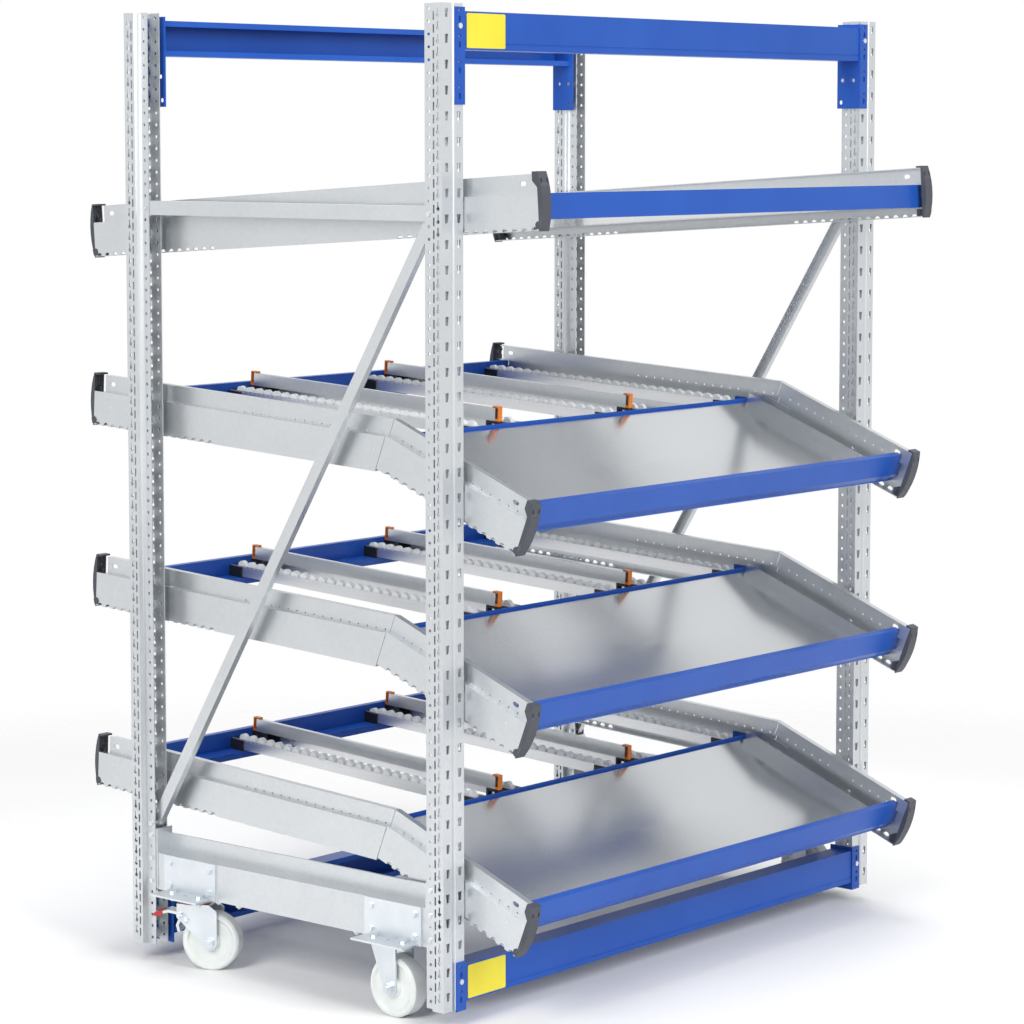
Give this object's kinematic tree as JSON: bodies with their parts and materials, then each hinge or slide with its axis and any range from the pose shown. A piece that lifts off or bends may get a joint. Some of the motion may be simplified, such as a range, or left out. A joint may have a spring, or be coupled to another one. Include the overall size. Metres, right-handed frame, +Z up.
{
  "type": "mobile flow rack",
  "caption": "Carton flow rack on castors: perforated uprights carry sloping wheel-track levels with steep drop trays in front and a flat return deck above, for handing bins to a work place.",
  "frame": {"origin": "on the floor under the middle of the rack's outline", "axes": "+X across the rack to the right as seen from the picking side, +Y from the picking side to the loading side, +Z up"},
  "size_m": [1.562, 1.2944, 2.036],
  "materials": {
    "galvanised": "galvanised steel, satin with a faint spangle",
    "sheet": "smooth bright galvanised sheet",
    "blue": "semi-gloss blue powder coat",
    "zinc": "bluish bright zinc plating",
    "aluminium": "natural drawn aluminium",
    "track_nylon": "milky moulded plastic",
    "castor_nylon": "milky white cast nylon",
    "grey_plastic": "dark grey moulded plastic",
    "black_plastic": "black moulded plastic",
    "orange_plastic": "orange moulded plastic",
    "red_plastic": "red moulded plastic"
  },
  "bodies": {
    "rack": {"upright_front_left": "galvanised", "upright_front_right": "galvanised", "upright_rear_left": "galvanised", "upright_rear_right": "galvanised", "top_beams": "blue", "bottom_beams": "blue", "upper_ties": "galvanised", "diagonal_braces": "galvanised", "brace_spacers": "zinc", "chassis_rails": "galvanised", "castor_brackets": "zinc", "rail_hangers": "zinc", "bolts": "zinc", "return_rails": "galvanised", "return_front_beam": "blue", "return_rear_beam": "galvanised", "return_deck": "sheet", "rear_rails_upper": "galvanised", "rear_rails_middle": "galvanised", "rear_rails_lower": "galvanised", "drop_rails_upper": "galvanised", "drop_rails_middle": "galvanised", "drop_rails_lower": "galvanised", "front_beam_upper": "blue", "front_beam_middle": "blue", "front_beam_lower": "blue", "support_beams_upper": "blue", "support_beams_middle": "blue", "support_beams_lower": "blue", "tracks_upper": "aluminium", "tracks_middle": "aluminium", "tracks_lower": "aluminium", "track_wheels_upper": "track_nylon", "track_wheels_middle": "track_nylon", "track_wheels_lower": "track_nylon", "drop_tray_upper": "sheet", "drop_tray_middle": "sheet", "drop_tray_lower": "sheet", "splice_plates": "zinc", "end_caps": "grey_plastic", "track_holders": "black_plastic", "lane_guides": "galvanised", "guide_feet": "black_plastic", "guide_clips": "orange_plastic", "fixed_forks": "zinc", "front_axles": "zinc", "swivel_plates": "zinc", "dust_rings": "red_plastic"},
    "swivel_left": {"swivel_fork_left": "zinc", "rear_axle_left": "zinc"},
    "swivel_right": {"swivel_fork_right": "zinc", "rear_axle_right": "zinc"},
    "wheel_front_left": {"wheel_front_left": "castor_nylon"},
    "wheel_front_right": {"wheel_front_right": "castor_nylon"},
    "wheel_rear_left": {"wheel_rear_left": "castor_nylon"},
    "wheel_rear_right": {"wheel_rear_right": "castor_nylon"},
    "brake_left": {"brake_pedal_left": "zinc", "brake_tip_left": "red_plastic"},
    "brake_right": {"brake_pedal_right": "zinc", "brake_tip_right": "red_plastic"}
  },
  "joints": [
    {"name": "front_wheel_spin_left", "type": "hinge", "parent": "rack", "child": "wheel_front_left", "pos_m": [-0.714, -0.29304, 0.0625], "axis": [1, 0, 0], "continuous": true},
    {"name": "castor_swivel_left", "type": "hinge", "parent": "rack", "child": "swivel_left", "pos_m": [-0.714, 0.29496, 0.1407], "axis": [0, 0, 1], "continuous": true},
    {"name": "rear_wheel_spin_left", "type": "hinge", "parent": "swivel_left", "child": "wheel_rear_left", "pos_m": [-0.69616, 0.2614, 0.0625], "axis": [0.8829, 0.4695, 0], "continuous": true},
    {"name": "brake_pedal_left", "type": "hinge", "parent": "swivel_left", "child": "brake_left", "pos_m": [-0.72621, 0.31791, 0.1187], "axis": [-0.8829, -0.4695, 0], "range_deg": [0, 12]},
    {"name": "front_wheel_spin_right", "type": "hinge", "parent": "rack", "child": "wheel_front_right", "pos_m": [0.714, -0.29304, 0.0625], "axis": [1, 0, 0], "continuous": true},
    {"name": "castor_swivel_right", "type": "hinge", "parent": "rack", "child": "swivel_right", "pos_m": [0.714, 0.29496, 0.1407], "axis": [0, 0, 1], "continuous": true},
    {"name": "rear_wheel_spin_right", "type": "hinge", "parent": "swivel_right", "child": "wheel_rear_right", "pos_m": [0.69616, 0.2614, 0.0625], "axis": [0.8829, -0.4695, 0], "continuous": true},
    {"name": "brake_pedal_right", "type": "hinge", "parent": "swivel_right", "child": "brake_right", "pos_m": [0.72621, 0.31791, 0.1187], "axis": [-0.8829, 0.4695, 0], "range_deg": [0, 12]}
  ]
}
